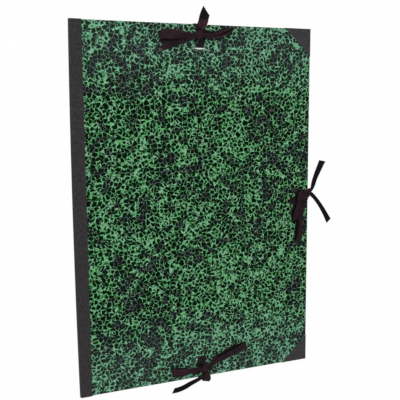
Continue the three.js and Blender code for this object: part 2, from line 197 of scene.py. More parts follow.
def back_route(tie):
    """Round the edge, over the knot, through it, round the left loop and out under itself."""
    u, v = tie["knot"]
    b = u - LANE
    s = -SLIT_INSET
    slanted = (0.7, -0.7, 0)
    return [
        *glued_end(BACK_BOARD_TOP - FACE_Z, CLOTH_THICK - FACE_Z, CLOTH_THICK - TAPE_THICK / 2),
        (0, s + 2.5, table(TAPE_THICK / 2), TAPE_WIDE, ACROSS_U),
        (b / 2, s / 2, table(TAPE_THICK / 2), TAPE_WIDE, ACROSS_U),
        *tie["round"],
        (b, v + 7.5, 0.6, 6.5, ACROSS_U),
        (b, v + 4, level(0), GATHERED, ACROSS_U),
        (b, v - 3, level(0), GATHERED, ACROSS_U),
        (b, v - 5.2, 1.1, GATHERED, ACROSS_U),
        (b, v - 6.1, 3, GATHERED, ACROSS_U),
        (b, v - 5, 4.9, 6.5, ACROSS_U),
        (b, v - 3, 5.6, 7.5, ACROSS_U),
        (b, v, 5.85, 8, ACROSS_U),
        (b, v + 3, 5.6, 7.5, ACROSS_U),
        (b, v + 5.2, 4.9, 6.5, ACROSS_U),
        (b, v + 5.8, 3.9, GATHERED, ACROSS_U),
        (b, v + 4.6, 3.1, GATHERED, ACROSS_U),
        (b - 1.3, v + 1.3, level(2), GATHERED, slanted),
        (b - 4.4, v - 0.3, level(2), GATHERED, ACROSS_V),
        *tie["back_loop"],
        (b - 4.4, v - 0.3, level(1), GATHERED, ACROSS_V),
        (b - 1.3, v + 1.3, level(1), GATHERED, slanted),
        (b, v + 4.6, level(1), GATHERED, ACROSS_U),
        *tie["back_tail"],
    ]


def round_edge(u):
    """From the table up round both covers' edges and in over the front one."""
    return [
        (u, -3.2, table(TAPE_THICK / 2), TAPE_WIDE, ACROSS_U),
        (u, -1, table(TAPE_THICK / 2), TAPE_WIDE, ACROSS_U),
        (u, 0.15, table(1.1), 11.5, ACROSS_U),
        (u, 0.3, table(4), 10, ACROSS_U),
        (u, 0.15, -0.5, 9, ACROSS_U),
        (u, -0.9, 0.45, 8.5, ACROSS_U),
    ]


TIES = {
    "top": {
        "knot": (1, -14),
        "lead": (9.5, 8, 6.6),
        "sway": 0.8,
        "round": round_edge(-2.1),
        "back_loop": [
            (-16, -14.2, 3.2, 7, ACROSS_V),
            (-27, -13.8, 5.6, 9.5, ACROSS_V),
            (-40, -13.6, 6.8, 11.5, ACROSS_V),
            (-48, -13.8, 6.4, 11.2, ACROSS_V),
            (-52.6, -15.6, 3.9, 10.2, (0.12, -1, 0)),
            (-49.5, -17.8, 1.7, 11.6, ACROSS_V),
            (-40, -18.2, 1.3, 11.5, ACROSS_V),
            (-26, -17, 1.2, 9.5, ACROSS_V),
            (-15, -15.2, 1.5, 7, ACROSS_V),
        ],
        "back_tail": [
            (-1.6, -6.6, 1.7, 7.5, ACROSS_U),
            (1.2, -2.6, 1.7, 10.8, (0.95, -0.3, 0)),
            (4.4, 2.8, 1.3, 12, (0.87, -0.38, 0.3)),
            (7.6, 8.4, table(4.8), 12, (0.87, -0.38, 0.3)),
            (10.8, 14.1, table(1.6), 12, (0.9, -0.4, 0.15)),
            (14.2, 20.2, table(0.23), 12, LEAN_RIGHT),
        ],
        "front_loop": [
            (13, -11.4, 2.9, 6, ACROSS_V),
            (20, -10.8, 5.2, 6.6, (0, -0.7, 0.7)),
            (30, -7.4, 6.2, 8, (0, -0.5, 0.85)),
            (38, -4.4, 6.2, 9, ON_EDGE),
            (41.8, -5.2, 6.2, 9.5, (0, 0, 1)),
            (38, -7.6, 6, 9, ON_EDGE),
            (30, -11, 6, 8, (0, -0.6, 0.8)),
            (21, -14, 5.4, 6.6, (0, -0.8, 0.5)),
            (13.5, -14.8, 4.6, 6, (0, -1, 0.2)),
        ],
        "front_tail": [
            (-9.5, -16, 4.6, GATHERED, (0.2, -0.98, 0)),
            (-14.5, -18, 4.2, GATHERED, (0.35, -0.93, 0)),
            (-20, -20, 2, 6, (0.3, -0.95, 0)),
            (-28, -22.2, 0.7, 7.6, (0.2, -1, 0)),
            (-39, -25, 0.4, 10, (0.2, -1, 0)),
            (-51, -28, 0.3, 12, (0.2, -1, 0)),
        ],
        "front_cut": (4, 0),
        "back_cut": (0, 7),
    },
    "side": {
        "knot": (-1.5, -10),
        "lead": (11, 9, 6.8),
        "sway": 0.0,
        "round": round_edge(-4.6),
        "back_loop": [
            (-11, -12.4, 4.2, 4.4, (0.8, -0.5, 0)),
            (-10, -16, 5, 4.4, (0.8, 0.6, 0)),
            (-4.5, -17.4, 5.8, 5, (0.2, 0.95, 0)),
            (3, -17.2, 6.4, 6.6, (-0.2, 1, 0)),
            (10.5, -19.4, 6.6, 7.4, (-0.3, 1, 0)),
            (18.5, -21.6, 6, 8.2, (-0.2, 1, 0)),
            (27, -22.6, 3.6, 8.6, (0, 1, 0)),
            (18.5, -23, 1.2, 8.2, (-0.2, 1, 0)),
            (9.5, -21, 1.1, 7.4, (-0.3, 1, 0)),
            (1.5, -19, 1.1, 6.6, (-0.2, 1, 0)),
            (-6, -18.4, 1.1, 5, (0.3, 0.95, 0)),
            (-11.4, -16.6, 1.1, 4.4, (0.8, 0.6, 0)),
            (-11.6, -12.6, 1.3, 4.4, (0.8, -0.5, 0)),
        ],
        "back_tail": [
            (-5.2, -2.6, 1.7, GATHERED, ACROSS_U),
            (-7.2, 0.9, 1.3, GATHERED, ACROSS_U),
            (-7.6, 4.2, table(6), GATHERED, ACROSS_U),
            (-5.4, 9.2, table(2.6), GATHERED, (0.9, -0.4, 0)),
            (-0.4, 15.4, table(0.6), 5.6, (0.8, -0.6, 0)),
            (10.5, 24.4, table(0.4), 6, (0.75, -0.66, 0)),
            (22.8, 32.6, table(0.3), 7, (0.55, -0.83, 0)),
            (34, 39.2, table(0.25), 8.6, (0.55, -0.83, 0)),
        ],
        "front_loop": [
            (10.5, -8.2, 1.8, 5.8, (-0.3, -0.9, 0)),
            (21, -13, 1.1, 6.2, (-0.3, -0.9, 0)),
            (36, -17, 0.9, 6.6, ACROSS_V),
            (48, -18, 1, 7, ACROSS_V),
            (57, -18.4, 3.3, 7.2, ACROSS_V),
            (48, -16.6, 5.8, 7, ACROSS_V),
            (36, -15.4, 6.2, 6.4, ACROSS_V),
            (22, -14.6, 6, 5.8, ACROSS_V),
            (12, -12, 5, 5.6, ACROSS_V),
        ],
        "front_tail": [
            (-10.4, -8, 4.5, GATHERED, (-0.7, -0.7, 0)),
            (-11.8, -4.8, 3.9, GATHERED, (-1, 0, 0)),
            (-12.4, -1.2, 3, GATHERED, (-1, 0, 0)),
            (-13, 2.8, 1.3, GATHERED, (-1, 0, 0)),
            (-15.4, 7.6, table(4.8), 6.4, (-0.85, -0.5, 0)),
            (-20.4, 11.8, table(1.6), 7, (-0.5, -0.85, 0)),
            (-28.5, 15.6, table(0.5), 7.4, (-0.45, -0.9, 0)),
            (-40, 21.2, table(0.3), 8.6, (-0.45, -0.9, 0)),
            (-52, 27.1, table(0.25), 10, (-0.45, -0.9, 0)),
        ],
        "front_cut": (0, 2.5),
        "back_cut": (1.5, 0),
    },
    "bottom": {
        "knot": (-0.5, -13.5),
        "lead": (11.4, 10, 7.6),
        "sway": -2.4,
        "round": [
            (-6.4, -3.5, table(TAPE_THICK / 2), TAPE_WIDE, ACROSS_U),
            (-7.2, -1.2, table(TAPE_THICK / 2), TAPE_WIDE, ACROSS_U),
            (-7.4, 2.4, table(0.35), 11, ACROSS_U),
            (-7, 6.2, table(2), 9.4, (1, -0.2, 0)),
            (-6.4, 7.7, table(4.8), 8.2, (1, -0.3, 0)),
            (-7, 6.4, -0.2, 9.4, (1, -0.2, 0)),
            (-7.6, 3.2, 1.1, 10.4, ACROSS_U),
            (-6.4, -1.5, 1, 9.4, ACROSS_U),
        ],
        "back_loop": [
            (-17, -18.6, 3.2, GATHERED, (0.33, -0.94, 0)),
            (-28, -23.4, 5.4, 6.8, (0.33, -0.94, 0)),
            (-42, -28.6, 6.4, 8, (0.33, -0.94, 0)),
            (-55, -33, 5.8, 9, (0.33, -0.94, 0)),
            (-63.5, -35.8, 3.6, 9.4, (0.33, -0.94, 0)),
            (-55, -33.4, 1.6, 9, (0.33, -0.94, 0)),
            (-42, -29, 1.3, 8, (0.33, -0.94, 0)),
            (-28, -23.8, 1.3, 6.8, (0.33, -0.94, 0)),
            (-17, -18.6, 1.5, GATHERED, (0.33, -0.94, 0)),
        ],
        "back_tail": [
            (-3.4, -6.2, 1.9, 6.2, ACROSS_U),
            (-1.8, -3, 2.2, 6, (0.85, -0.5, 0)),
            (1.4, -0.4, 2, 6, (0.7, -0.7, 0)),
            (5.5, 2.6, 0.6, 6, (0.65, -0.75, 0)),
            (10.5, 6.6, table(4.6), 6.4, (0.6, -0.8, 0)),
            (15, 9.8, table(1.8), 6.8, (0.5, -0.85, 0)),
            (20.5, 12.8, table(0.6), 7, (0.4, -0.9, 0)),
            (30, 15.2, table(0.5), 7, (0.1, -1, 0)),
            (39, 15.5, table(0.5), 6.8, (0, -1, 0)),
        ],
        "front_loop": [
            (11.5, -10, 2.2, 6, (-0.2, -1, 0)),
            (20, -11.6, 1.4, 7.6, (-0.2, -1, 0)),
            (31, -12.8, 1.1, 9.6, ACROSS_V),
            (42.5, -13.2, 3.8, 10.4, ACROSS_V),
            (31, -13.2, 6.6, 9.6, ACROSS_V),
            (20, -13.6, 6.6, 7.6, ACROSS_V),
            (12, -13.8, 5.2, 6, ACROSS_V),
        ],
        "front_tail": [
            (-11, -17, 4.6, 6, (0.5, -0.85, 0)),
            (-14.5, -20.4, 4.3, 6, (0.5, -0.85, 0)),
            (-18.5, -23.6, 2.4, 6.2, (0.45, -0.9, 0)),
            (-24, -24.8, 0.8, 6.2, (0.33, -0.94, 0)),
            (-32, -27.6, 0.4, 6.6, (0.33, -0.94, 0)),
            (-41, -31.4, 0.35, 7, (0.4, -0.9, 0)),
            (-53, -36.8, 0.3, 7.6, (0.4, -0.9, 0)),
        ],
        "front_cut": (4, 0),
        "back_cut": (0, 4),
    },
}


# Surfaces

def to_row(points, place):
    """Turns the tie's own axes about the vertical and moves them to the edge, in metres."""
    x0, y0, turn = place
    c, s = math.cos(turn), math.sin(turn)
    u, v, w = points[..., 0], points[..., 1], points[..., 2]
    return np.stack([x0 + c * u - s * v, y0 + s * u + c * v, FACE_Z + w], axis=-1) * MM


def mesh_object(name, vertices, faces, uvs=None, smooth=True, painted_shade=None):
    """A mesh from whole arrays of vertices and four-cornered faces, with one UV per vertex."""
    mesh = bpy.data.meshes.new(name)
    mesh.from_pydata(vertices.reshape(-1, 3).tolist(), [], faces.tolist())
    if uvs is not None:
        layer = mesh.uv_layers.new(name="across_and_along")
        corner = np.empty(len(mesh.loops), dtype=np.int32)
        mesh.loops.foreach_get("vertex_index", corner)
        layer.data.foreach_set("uv", uvs.reshape(-1, 2)[corner].ravel())
    if painted_shade is not None:
        # The tape's painted shade, one value per vertex, read by its material.
        stored = mesh.attributes.new("painted_fold_shade", "FLOAT", "POINT")
        stored.data.foreach_set("value", painted_shade.ravel())
    mesh.polygons.foreach_set("use_smooth", np.full(len(mesh.polygons), smooth))
    mesh.update()
    piece = bpy.data.objects.new(name, mesh)
    bpy.context.scene.collection.objects.link(piece)
    return piece


def tube_faces(sections, columns):
    """Quads of a flat tube of two facing rows of columns, with both of its ends closed."""
    ring = 2 * columns
    i, j = np.meshgrid(np.arange(sections - 1), np.arange(ring), indexing="ij")
    here = i * ring + j
    beside = i * ring + (j + 1) % ring
    sides = np.stack([here, beside, beside + ring, here + ring], axis=-1).reshape(-1, 4)
    k = np.arange(columns - 1)
    first = np.stack([k, ring - 1 - k, ring - 2 - k, k + 1], axis=-1)
    last = first[:, ::-1] + (sections - 1) * ring
    return np.vstack([sides, first, last])


def centripetal(points):
    """Each span is a cubic whose end slopes weigh the next steps by the root of their length."""
    before = 2 * points[0] - points[1]
    after = 2 * points[-1] - points[-2]
    p = np.vstack([before, points, after])
    p0, p1, p2, p3 = p[:-3], p[1:-2], p[2:-1], p[3:]
    gap = np.sqrt(np.linalg.norm(np.diff(p, axis=0), axis=1))[:, None]
    d0, d1, d2 = gap[:-2], gap[1:-1], gap[2:]
    m1 = d1 * ((p1 - p0) / d0 - (p2 - p0) / (d0 + d1) + (p2 - p1) / d1)
    m2 = d1 * ((p2 - p1) / d1 - (p3 - p1) / (d1 + d2) + (p3 - p2) / d2)
    t = np.arange(PER_SPAN)[None, :, None] / PER_SPAN
    p1, p2, m1, m2 = (x[:, None, :] for x in (p1, p2, m1, m2))
    curve = (
        p1
        + t * m1
        + t**2 * (-3 * p1 + 3 * p2 - 2 * m1 - m2)
        + t**3 * (2 * p1 - 2 * p2 + m1 + m2)
    )
    return np.vstack([curve.reshape(-1, 3), points[-1]])


def eased(values, reach):
    """Running mean of each column over a bell of that many steps, ends held."""
    steps = np.arange(-3 * reach, 3 * reach + 1)
    bell = np.exp(-0.5 * (steps / reach) ** 2)
    bell = bell / bell.sum()
    padded = np.pad(values, ((3 * reach, 3 * reach), (0, 0)), mode="edge")
    return np.stack([np.convolve(column, bell, mode="valid") for column in padded.T], axis=1)


def resampled(values, along, wanted):
    """Each column of the values, read off again at the wanted lengths."""
    return np.stack([np.interp(wanted, along, column) for column in values.T], axis=1)


def lift_clear(core):
    """How far each point must rise to lie on the cover inside its edge, or on the table beyond it.

    Points in the slit, in the glued bed and below the cover's face are left where they are.
    """
    u, v, w = core[..., 0], core[..., 1], core[..., 2]
    aside = np.abs(u) > TAPE_WIDE / 2 + 1.5
    over_cover = (w > -0.3) & (v < -0.2) & (aside | (v > -SLIT_INSET + 0.75))
    away_from_slit = (w > -0.1) & (v < -SLIT_INSET - 0.75)
    least = TAPE_THICK / 2 + CLEAR
    on_cover = np.where(over_cover | away_from_slit, np.maximum(least - w, 0), 0)
    on_table = np.where(v > 0.3, np.maximum(table(TAPE_THICK / 2) - w, 0), 0)
    return on_cover + on_table


def tape(name, route, place, cut, seed):
    """A woven tape: its middle line is the route, and across it the height is a row of pleats.

    The pleats are sines of the place across the tape. They rise as the tape is gathered, up to
    PLEAT_ROOM, are none at full width, and their phase drifts slowly along it. The last stretch
    is pressed back by a share that grows across the tape, which gives the slanting cut.
    """
    middle = centripetal(np.array([r[:3] for r in route], dtype=float))
    knots = np.arange(len(route)) * PER_SPAN
    fine = np.arange(len(middle))
    width = np.interp(fine, knots, [r[3] for r in route])
    side = np.stack([np.interp(fine, knots, [r[4][k] for r in route]) for k in range(3)], axis=1)
    along = np.concatenate([[0], np.cumsum(np.linalg.norm(np.diff(middle, axis=0), axis=1))])
    count = int(along[-1] / STEP)
    a = np.linspace(0, along[-1], count)
    at = resampled(middle, along, a)
    wide = eased(resampled(width[:, None], along, a), EASE)[:, 0]
    across = eased(resampled(side, along, a), EASE)
    ahead = unit(np.gradient(at, axis=0))
    across = unit(across - ahead * np.sum(across * ahead, axis=1)[:, None])
    up = np.cross(across, ahead)

    s = np.linspace(-1, 1, COLUMNS)[None, :]
    drift = a[:, None]
    loose = np.clip(1 - wide / TAPE_WIDE, 0, 1)[:, None]
    high = np.minimum(PLEAT_RISE * loose**0.6, PLEAT_ROOM)
    broad = BROAD_PLEATS * s + 0.3 * np.sin(drift / 11 + seed) + 0.37 * seed
    fine = FINE_PLEATS * s + 0.4 * np.sin(drift / 7 + 2 * seed)
    pleat = high * np.sin(math.pi * broad) + FINE_SHARE * high * np.sin(math.pi * fine)
    end = (cut[0] * (1 - s) + cut[1] * (1 + s)) / 2 + 0.12 * np.sin(9 * s + seed)
    back = np.clip((drift - a[-1] + CUT_REACH) / CUT_REACH, 0, 1)
    shifted = drift - back * np.abs(end)

    def bent(values):
        return np.stack([np.interp(shifted, a, column) for column in values.T], axis=-1)

    half = np.interp(shifted, a, wide / 2)[..., None]
    core = bent(at) + bent(across) * s[..., None] * half + bent(up) * pleat[..., None]
    core[..., 2] += lift_clear(core)
    normal = np.cross(np.gradient(core, axis=1), np.gradient(core, axis=0))
    normal = normal / np.maximum(np.linalg.norm(normal, axis=2), 1e-9)[..., None]
    upper = core + normal * TAPE_THICK / 2
    lower = core - normal * TAPE_THICK / 2
    ring = np.concatenate([upper, lower[:, ::-1]], axis=1)
    uv = np.stack([np.broadcast_to(s * TAPE_WIDE / 2, shifted.shape), shifted], axis=-1)
    uv = np.concatenate([uv, uv[:, ::-1]], axis=1)

    # Painted shade for the tape's material: darkest in the pleats' valleys and where another strand
    # of the tape lies above.
    valley = 0.5 - 0.5 * pleat / ((1 + FINE_SHARE) * np.maximum(high, 1e-6))
    valley = np.concatenate([valley, 1 - valley[:, ::-1]], axis=1) * np.clip(3 * loose, 0.25, 1)
    painted_shade = np.clip(0.6 * valley + covered_by(ring, np.column_stack([at, wide])), 0, 1)
    piece = mesh_object(name, to_row(ring, place), tube_faces(count, COLUMNS), uv, painted_shade=painted_shade)
    length = a[-1] - (cut[0] + cut[1]) / 2
    steps = np.append(np.arange(0, length - 1, PATH_STEP), length)
    return piece, to_row(resampled(at, a, steps), place), float(length) * MM


def covered_by(points, strands):
    """How far each point lies under a strand of the same tape, from 0 in the open to 1.

    The share is a bell in the fourth power of the distance sideways over half the strand's
    width, and it grows with the height of the strand above the point.
    """
    flat = points.reshape(-1, 3).astype(np.float32)
    share = np.zeros(len(flat), dtype=np.float32)
    for strand in strands[::4].astype(np.float32):
        aside = np.sum((flat[:, :2] - strand[:2]) ** 2, axis=1) / (strand[3] / 2 + 1.2) ** 2
        above = np.clip((strand[2] - flat[:, 2] - 1.0) / 1.6, 0, 1)
        share = np.maximum(share, np.exp(-(aside**2)) * above)
    return share.reshape(points.shape[:-1])


def slit_lip(name, place, over_back, wide, high):
    """The raw paper pushed up along the inner side of a slit.

    Across the slit the strip falls from the cut to the cover in a quarter wave. Its width along
    the slit is a flat arch with a ragged edge, one less the cube of the distance from its middle.
    """
    u, q = np.meshgrid(np.linspace(-1, 1, 41), np.linspace(0, 1, 9), indexing="ij")
    arch = np.maximum(1 - np.abs(u) ** 3.0, 0) ** 0.8
    ragged = 1 + 0.14 * np.sin(17 * u + 1) + 0.1 * np.sin(41 * u)
    beside = u * (SLIT_LONG / 2 - 0.4)
    inward = -SLIT_INSET - SLIT_WIDE / 2 + 0.05 - wide * q * arch * ragged
    top = 0.03 + high * arch * ragged * np.cos(q * math.pi / 2)
    heights = [top, np.full_like(top, -0.12)]
    if over_back:
        heights = [table(CLOTH_THICK) - height for height in heights]
    upper, under = (np.stack([beside, inward, height], axis=-1) for height in heights)
    ring = np.concatenate([upper, under[:, ::-1]], axis=1)
    faces = tube_faces(*u.shape)
    if not over_back:
        faces = faces[:, ::-1]
    return mesh_object(name, to_row(ring, place), faces)


# Shader nodes

def linear(red, green, blue):
    """Display colour from 0 to 255 to the linear colour that shaders use."""
    c = np.array([red, green, blue]) / 255
    c = np.where(c <= 0.04045, c / 12.92, ((c + 0.055) / 1.055) ** 2.4)
    return (*c.tolist(), 1.0)


def add(tree, kind, inputs=None, **settings):
    """A node with its settings made, and each input linked to a socket or given a value."""
    node = tree.nodes.new(kind)
    for key, value in settings.items():
        setattr(node, key, value)
    for key, value in (inputs or {}).items():
        if isinstance(value, bpy.types.NodeSocket):
            tree.links.new(value, node.inputs[key])
        else:
            node.inputs[key].default_value = value
    return node


def calc(tree, operation, first, second=0.5, third=0.5, clamp=False):
    """One Math node on values or sockets."""
    inputs = {0: first, 1: second, 2: third}
    return add(tree, "ShaderNodeMath", inputs, operation=operation, use_clamp=clamp).outputs[0]


def vector(tree, operation, first, second=None, scale=None):
    """One Vector Math node on values or sockets."""
    inputs = {0: first}
    if second is not None:
        inputs[1] = second
    if scale is not None:
        inputs["Scale"] = scale
    node = add(tree, "ShaderNodeVectorMath", inputs, operation=operation)
    return node.outputs["Value" if operation in ("LENGTH", "DOT_PRODUCT") else "Vector"]


def fade(tree, value, low, high, out_low=0.0, out_high=1.0):
    """Smooth step of value from low to high."""
    inputs = {
        "Value": value, "From Min": low, "From Max": high, "To Min": out_low, "To Max": out_high,
    }
    node = add(tree, "ShaderNodeMapRange", inputs, interpolation_type="SMOOTHSTEP")
    return node.outputs["Result"]


def blend(tree, share, first, second, kind="MIX"):
    """Mix of two colours. Mix has sockets of several kinds, so those for colour go by number."""
    inputs = {0: share, 6: first, 7: second}
    return add(tree, "ShaderNodeMix", inputs, data_type="RGBA", blend_type=kind).outputs[2]


def shaded(tree, colour, shade):
    """The colour times a grey factor, which may pass 1."""
    grey = add(tree, "ShaderNodeCombineXYZ", {0: shade, 1: shade, 2: shade}).outputs[0]
    return blend(tree, 1.0, colour, grey, "MULTIPLY")


def noise(tree, where, size, detail=2.0, rough=0.5, colour=False):
    """Noise whose features are about that many millimetres across."""
    inputs = {"Vector": where, "Scale": 1.0 / size, "Detail": detail, "Roughness": rough}
    node = add(tree, "ShaderNodeTexNoise", inputs)
    return node.outputs["Color" if colour else "Fac"]


def elsewhere(tree, where, shift):
    """The place moved far off, so that one noise doesn't follow another."""
    return vector(tree, "ADD", where, shift)


def swirl(tree, where, size, detail, reach):
    """A shift in every direction by noise, up to about half the reach."""
    turn = noise(tree, where, size, detail, colour=True)
    return vector(tree, "SCALE", vector(tree, "SUBTRACT", turn, (0.5, 0.5, 0.5)), scale=reach)


def edge_distance(tree, parts):
    """Millimetres from the nearest side of the cover."""
    across = calc(tree, "SUBTRACT", RIGHT, calc(tree, "ABSOLUTE", parts[0]))
    along = calc(tree, "SUBTRACT", HEAD, calc(tree, "ABSOLUTE", parts[1]))
    return calc(tree, "MINIMUM", across, along)


def group(name, inputs, outputs):
    """A shader node group, with its named inputs and outputs."""
    tree = bpy.data.node_groups.new(name, "ShaderNodeTree")
    for label, kind, value in inputs:
        socket = tree.interface.new_socket(label, in_out="INPUT", socket_type=kind)
        if value is not None:
            socket.default_value = value
    for label, kind in outputs:
        tree.interface.new_socket(label, in_out="OUTPUT", socket_type=kind)
    source = tree.nodes.new("NodeGroupInput")
    target = tree.nodes.new("NodeGroupOutput")
    return tree, source.outputs, target.inputs


def use(tree, shared, inputs):
    """A shared group placed in a material, with that material's own values."""
    return add(tree, "ShaderNodeGroup", inputs, node_tree=shared).outputs


def woven_threads():
    """Plain weave: two crossed rows of threads, each a sine across, over and under in turn."""
    tree, given, result = group(
        "woven_threads",
        [
            ("Across", "NodeSocketFloat", 0.0),
            ("Along", "NodeSocketFloat", 0.0),
            ("Across Pitch", "NodeSocketFloat", 0.5),
            ("Along Pitch", "NodeSocketFloat", 0.5),
            ("Slub", "NodeSocketFloat", 0.0),
        ],
        [("Height", "NodeSocketFloat"), ("Hollow", "NodeSocketFloat")],
    )
    x = calc(tree, "DIVIDE", given["Across"], given["Across Pitch"])
    y = calc(tree, "DIVIDE", given["Along"], given["Along Pitch"])
    x = calc(tree, "ADD", x, given["Slub"])
    y = calc(tree, "ADD", y, given["Slub"])
    warp = calc(tree, "ABSOLUTE", calc(tree, "SINE", calc(tree, "MULTIPLY", x, math.pi)))
    weft = calc(tree, "ABSOLUTE", calc(tree, "SINE", calc(tree, "MULTIPLY", y, math.pi)))
    turn_x = calc(tree, "COSINE", calc(tree, "MULTIPLY", x, math.pi))
    turn_y = calc(tree, "COSINE", calc(tree, "MULTIPLY", y, math.pi))
    over = calc(tree, "MULTIPLY_ADD", calc(tree, "MULTIPLY", turn_x, turn_y), 0.5, 0.5, clamp=True)
    raised = calc(tree, "MULTIPLY", warp, over)
    sunk = calc(tree, "MULTIPLY", weft, calc(tree, "SUBTRACT", 1.0, over))
    tree.links.new(calc(tree, "ADD", raised, sunk), result["Height"])
    hollow = calc(tree, "SUBTRACT", 1.0, calc(tree, "MAXIMUM", warp, weft))
    tree.links.new(hollow, result["Hollow"])
    return tree


def soft_mottle():
    """A factor about 1 for slow changes of tone: noise of three octaves, less its middle."""
    tree, given, result = group(
        "soft_mottle",
        [
            ("Place", "NodeSocketVector", None),
            ("Size", "NodeSocketFloat", 20.0),
            ("Amount", "NodeSocketFloat", 0.2),
        ],
        [("Tone", "NodeSocketFloat")],
    )
    size = given["Size"]
    size = add(tree, "ShaderNodeCombineXYZ", {"X": size, "Y": size, "Z": size}).outputs[0]
    place = vector(tree, "DIVIDE", given["Place"], size)
    tone = calc(tree, "SUBTRACT", noise(tree, place, 1.0, 3.0), 0.5)
    tone = calc(tree, "MULTIPLY", tone, 2.0)
    tree.links.new(calc(tree, "MULTIPLY_ADD", tone, given["Amount"], 1.0), result["Tone"])
    return tree


def edge_rub():
    """Wear that is full at an edge and fades over its reach, broken up by noise."""
    tree, given, result = group(
        "edge_rub",
        [
            ("Place", "NodeSocketVector", None),
            ("Distance", "NodeSocketFloat", 10.0),
            ("Reach", "NodeSocketFloat", 1.0),
        ],
        [("Rubbed", "NodeSocketFloat")],
    )
    near = fade(tree, calc(tree, "DIVIDE", given["Distance"], given["Reach"]), 1.0, 0.0)
    broken = fade(tree, noise(tree, given["Place"], 2.5, 4.0, 0.65), 0.35, 0.7)
    tree.links.new(calc(tree, "MULTIPLY", near, broken, clamp=True), result["Rubbed"])
    return tree


WEAVE = woven_threads()
MOTTLE = soft_mottle()
RUB = edge_rub()


def material(name, roughness, **fixed):
    """A material with its fixed sockets set, and its place in millimetres."""
    made = bpy.data.materials.new(name)
    made.use_nodes = True
    tree = made.node_tree
    shader = tree.nodes["Principled BSDF"]
    shader.inputs["Roughness"].default_value = roughness
    for key, value in fixed.items():
        shader.inputs[key.replace("_", " ")].default_value = value
    place = add(tree, "ShaderNodeTexCoord").outputs["Object"]
    millimetres = vector(tree, "SCALE", place, scale=1000.0)
    return made, tree, shader, millimetres


def relief(tree, shader, height, strength, distance):
    """Bump from a height in the units of distance, in metres."""
    inputs = {"Height": height, "Strength": strength, "Distance": distance}
    node = add(tree, "ShaderNodeBump", inputs)
    tree.links.new(node.outputs["Normal"], shader.inputs["Normal"])


# Finishes

def marbled_paper():
    """Marbling drawn as cells: dark drops, and between them a net of green veins.

    The place is bent by two sizes of noise, then a cell pattern gives the distance to the nearest
    border. Veins show where that distance is under a width that itself changes slowly, so they
    run from hair-fine to broad. Where the slow noise is lowest the drops merge into dark pools.
    Towards head and tail both colours turn paler, a painted sheen in place of a reflection.
    """
    made, tree, shader, p = material("marbled_paper", 0.6, Specular_IOR_Level=0.03)
    bent = vector(tree, "ADD", p, swirl(tree, p, 13.0, 2.0, 6.0))
    bent = vector(tree, "ADD", bent, swirl(tree, p, 3.4, 1.5, 4.2))
    cell = 5.3
    cells = {"Vector": bent, "Scale": 1 / cell, "Randomness": 1.0}
    border = add(tree, "ShaderNodeTexVoronoi", cells, feature="DISTANCE_TO_EDGE")
    border = border.outputs["Distance"]
    drop = add(tree, "ShaderNodeTexVoronoi", cells, feature="F1").outputs["Color"]
    drop_tone = add(tree, "ShaderNodeSeparateColor", {0: drop}).outputs[0]
    slow = noise(tree, elsewhere(tree, p, (91.0, 17.0, 5.0)), 12.0)
    wide = noise(tree, elsewhere(tree, p, (31.0, 67.0, 5.0)), 48.0)
    slow = calc(tree, "MULTIPLY_ADD", slow, 0.58, calc(tree, "MULTIPLY_ADD", wide, 0.3, 0.06))
    pale = noise(tree, elsewhere(tree, p, (13.0, 57.0, 31.0)), 6.0)
    breaks = noise(tree, elsewhere(tree, p, (7.0, 3.0, 71.0)), 3.8)
    vein_width = fade(tree, slow, 0.42, 0.6, 0.01, 0.15)
    vein = fade(tree, calc(tree, "SUBTRACT", border, vein_width), 0.03, -0.014)
    vein = calc(tree, "MULTIPLY", vein, fade(tree, breaks, 0.38, 0.5, 0.15, 1.0))
    pool = fade(tree, slow, 0.465, 0.415)
    dark = blend(tree, fade(tree, drop_tone, 0.1, 0.9), linear(0, 18, 0), linear(0, 28, 10))
    dark = blend(tree, fade(tree, pool, 0.2, 1.0, 0.0, 0.85), dark, linear(24, 24, 31))
    green = blend(tree, fade(tree, pale, 0.4, 0.6), linear(72, 152, 84), linear(114, 174, 128))
    line = fade(tree, border, 0.05, 0.0)
    green = blend(tree, calc(tree, "MULTIPLY", line, 0.75), green, linear(158, 208, 170))
    green = blend(tree, fade(tree, pool, 0.3, 1.0, 0.0, 0.65), green, linear(140, 160, 146))
    parts = add(tree, "ShaderNodeSeparateXYZ", {0: p}).outputs
    # Painted sheen: both colours turn paler towards head and tail, standing in for light reflected
    # off the paper.
    ends = fade(tree, calc(tree, "ABSOLUTE", parts[1]), 120.0, 205.0)
    green = blend(tree, calc(tree, "MULTIPLY", ends, 0.34), green, linear(126, 182, 166))
    dark = blend(tree, calc(tree, "MULTIPLY", ends, 0.4), dark, linear(52, 58, 58))
    colour = blend(tree, vein, dark, green)
    specks = noise(tree, elsewhere(tree, p, (3.0, 77.0, 11.0)), 2.4, 1.0)
    colour = blend(tree, fade(tree, specks, 0.7, 0.78, 0.0, 0.5), colour, linear(86, 58, 50))
    near = edge_distance(tree, parts)
    rubbed = use(tree, RUB, {"Place": p, "Distance": near, "Reach": 1.1})["Rubbed"]
    # Painted shade: darker within about a millimetre of each side, where the paper turns round the
    # board's edge.
    colour = blend(tree, fade(tree, near, 1.3, 0.3, 0.0, 0.45), colour, linear(14, 20, 15))
    colour = blend(tree, calc(tree, "MULTIPLY", rubbed, 0.16), colour, linear(150, 152, 140))
    tree.links.new(colour, shader.inputs["Base Color"])
    tone = use(tree, MOTTLE, {"Place": p, "Size": 6.0, "Amount": 0.12})["Tone"]
    tree.links.new(calc(tree, "MULTIPLY", tone, 0.5), shader.inputs["Roughness"])
    relief(tree, shader, noise(tree, p, 0.45, 3.0, 0.6), 0.12, 0.0001)
    return made


